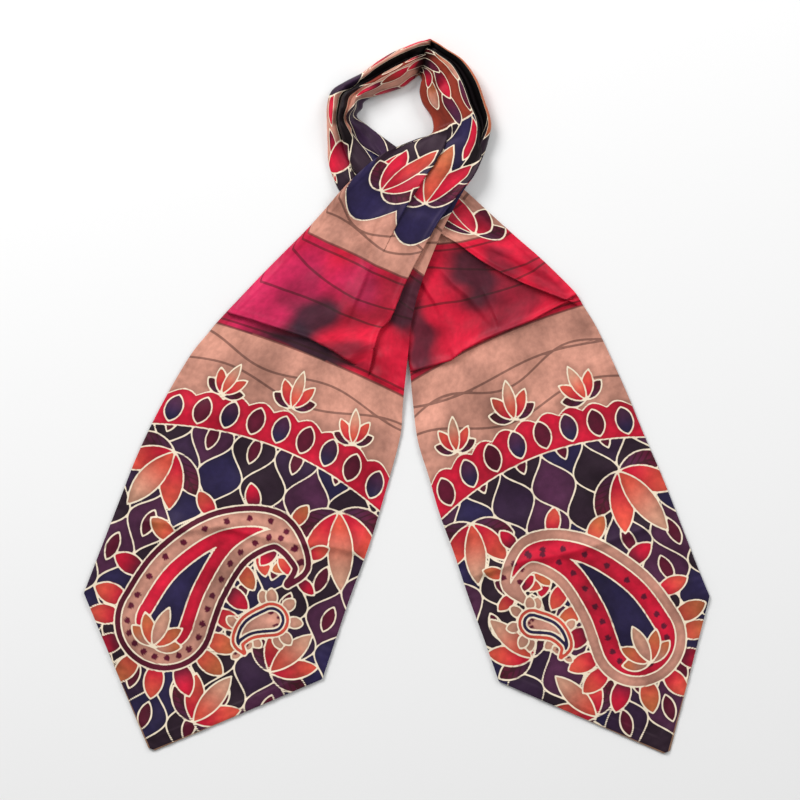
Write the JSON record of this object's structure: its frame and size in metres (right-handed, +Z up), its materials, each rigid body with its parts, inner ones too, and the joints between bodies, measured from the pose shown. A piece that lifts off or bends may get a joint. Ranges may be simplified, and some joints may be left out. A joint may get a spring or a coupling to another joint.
{
  "type": "silk cravat",
  "caption": "Double-layer printed silk cravat laid flat, wound in one gathered loop with its pointed ends crossed and fanned out.",
  "frame": {"origin": "on the surface the cravat lies on, under the middle of its outline", "axes": "+Z up from the surface, +Y from the pointed ends towards the neck loop"},
  "size_m": [0.4128, 0.4712, 0.0176],
  "materials": {
    "printed_silk_satin": "soft satin sheen, printed in near-black aubergine, crimson, wine and tan with fine cream outlines"
  },
  "bodies": {
    "root": {"front_tail_face": "printed_silk_satin", "front_tail_back": "printed_silk_satin", "under_tail_face": "printed_silk_satin", "under_tail_back": "printed_silk_satin", "loop_right": "printed_silk_satin", "loop_top": "printed_silk_satin", "loop_left": "printed_silk_satin"}
  },
  "joints": []
}
